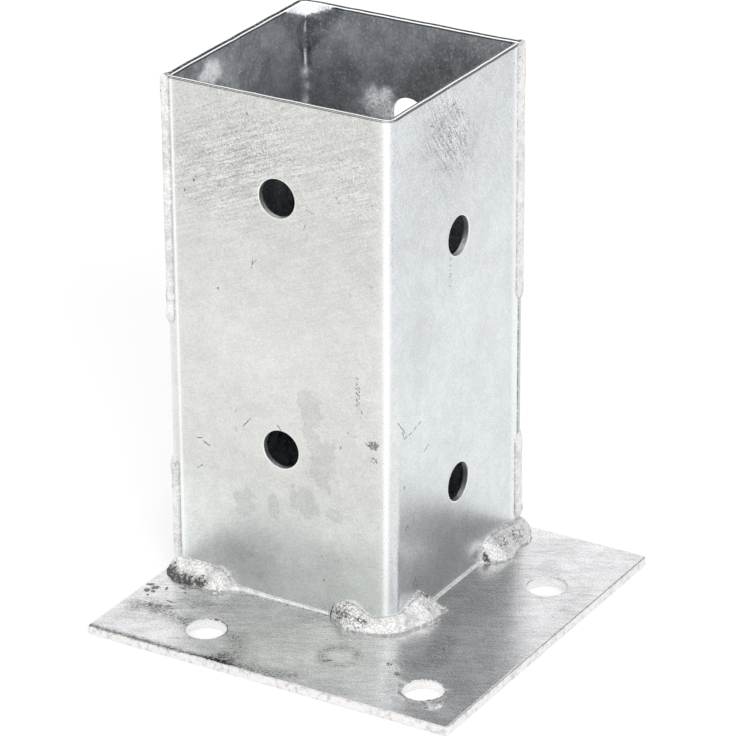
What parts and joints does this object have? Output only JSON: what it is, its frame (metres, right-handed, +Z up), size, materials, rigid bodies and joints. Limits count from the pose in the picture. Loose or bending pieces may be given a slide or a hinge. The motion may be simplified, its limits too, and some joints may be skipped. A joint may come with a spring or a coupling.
{
  "type": "screw-on post sleeve",
  "caption": "Square steel sleeve, folded and welded, standing off-centre on a flat base plate: it holds a timber post near the corner of a slab.",
  "frame": {"origin": "centre of the base plate's underside", "axes": "+Z up along the sleeve; the sleeve stands towards the plate's -X +Y corner, and the plate's free margins with the screw holes are on its -Y and +X sides"},
  "size_m": [0.12, 0.12, 0.1606],
  "materials": {
    "zinc_plate": "hot-dip galvanised, dull, with stains round the holes",
    "zinc_sheet": "hot-dip galvanised, light grey, faintly streaked",
    "zinc_weld": "galvanised weld bead, lumpy and satin"
  },
  "bodies": {
    "root": {"base_plate": "zinc_plate", "sleeve_half_front": "zinc_sheet", "sleeve_half_back": "zinc_sheet", "seam_weld_left_upper": "zinc_weld", "seam_weld_left_lower": "zinc_weld", "seam_weld_right_upper": "zinc_weld", "seam_weld_right_lower": "zinc_weld", "foot_weld_left": "zinc_weld", "foot_weld_front": "zinc_weld", "foot_weld_right": "zinc_weld", "foot_weld_back": "zinc_weld"}
  },
  "joints": []
}
